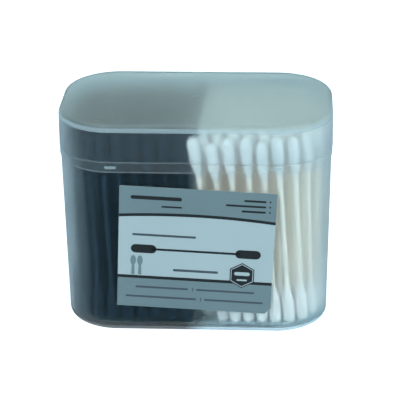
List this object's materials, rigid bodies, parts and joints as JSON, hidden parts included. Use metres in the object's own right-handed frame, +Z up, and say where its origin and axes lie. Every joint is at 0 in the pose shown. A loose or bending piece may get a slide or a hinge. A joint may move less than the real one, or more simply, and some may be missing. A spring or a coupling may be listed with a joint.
{
  "type": "cotton swab box",
  "caption": "Frosted plastic box with a lift-off lid and a dividing wall, filled with standing black and white cotton swabs, with a slightly crooked paper label on the front.",
  "frame": {"origin": "middle of the underside, on the surface the box stands on", "axes": "+X across the front from the black swabs towards the white ones, -Y out of the front wall with the label, +Z up"},
  "size_m": [0.105, 0.06, 0.087],
  "materials": {
    "frosted body": "frosted, translucent",
    "frosted lid": "frosted, translucent",
    "label paper": "smooth",
    "label print grey": "printed",
    "label print black": "printed",
    "black stick": "rolled paper",
    "white stick": "rolled paper",
    "black cotton": "wound cotton",
    "white cotton": "wound cotton"
  },
  "bodies": {
    "box": {"body": "frosted body", "label_sheet": "label paper", "label_bands": "label print grey", "label_marks": "label print black", "black_sticks_1": "black stick", "black_sticks_2": "black stick", "black_sticks_3": "black stick", "black_sticks_4": "black stick", "black_tips_1": "black cotton", "black_tips_2": "black cotton", "black_tips_3": "black cotton", "black_tips_4": "black cotton", "white_sticks_1": "white stick", "white_sticks_2": "white stick", "white_sticks_3": "white stick", "white_sticks_4": "white stick", "white_tips_1": "white cotton", "white_tips_2": "white cotton", "white_tips_3": "white cotton", "white_tips_4": "white cotton"},
    "lid": {"lid": "frosted lid"}
  },
  "joints": [
    {"name": "lid_lift", "type": "slide", "parent": "box", "child": "lid", "axis": [0, 0, 1], "range_m": [0, 0.03]}
  ]
}
